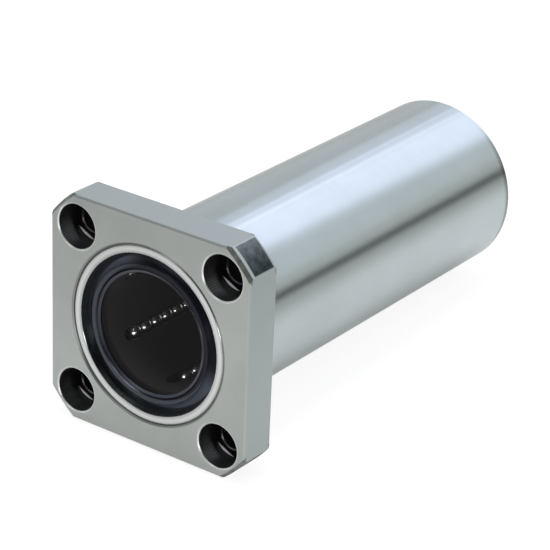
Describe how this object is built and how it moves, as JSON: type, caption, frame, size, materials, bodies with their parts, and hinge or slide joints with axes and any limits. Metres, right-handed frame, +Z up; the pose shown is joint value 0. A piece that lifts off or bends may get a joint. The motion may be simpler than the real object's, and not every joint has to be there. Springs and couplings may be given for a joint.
{
  "type": "square flange linear bearing",
  "caption": "Long linear ball bearing: a ground steel tube with a square screw flange, holding recirculating balls and end seals that guide and wipe a sliding shaft.",
  "frame": {"origin": "centre of the flange's mounting face, on the bearing's axis", "axes": "+Y along the axis from the flange to the tube's far end, +Z up, with the flange's sides parallel to X and Z"},
  "size_m": [0.058, 0.123, 0.058],
  "materials": {
    "flange_steel": "satin, grey-green steel",
    "tube_steel": "fine ground steel",
    "ball_steel": "polished bearing steel",
    "spring_steel": "dark spring steel",
    "seal_rubber": "satin blue-black rubber",
    "retainer_resin": "satin black resin"
  },
  "bodies": {
    "root": {"flange": "flange_steel", "outer_cylinder": "tube_steel", "centre_spacer": "retainer_resin", "front_seal": "seal_rubber", "front_retaining_ring": "spring_steel", "front_ball_retainer": "retainer_resin", "rear_seal": "seal_rubber", "rear_retaining_ring": "spring_steel", "rear_ball_retainer": "retainer_resin", "front_ball_circuit_1": "ball_steel", "front_ball_circuit_2": "ball_steel", "front_ball_circuit_3": "ball_steel", "front_ball_circuit_4": "ball_steel", "front_ball_circuit_5": "ball_steel", "front_ball_circuit_6": "ball_steel", "rear_ball_circuit_1": "ball_steel", "rear_ball_circuit_2": "ball_steel", "rear_ball_circuit_3": "ball_steel", "rear_ball_circuit_4": "ball_steel", "rear_ball_circuit_5": "ball_steel", "rear_ball_circuit_6": "ball_steel"}
  },
  "joints": []
}
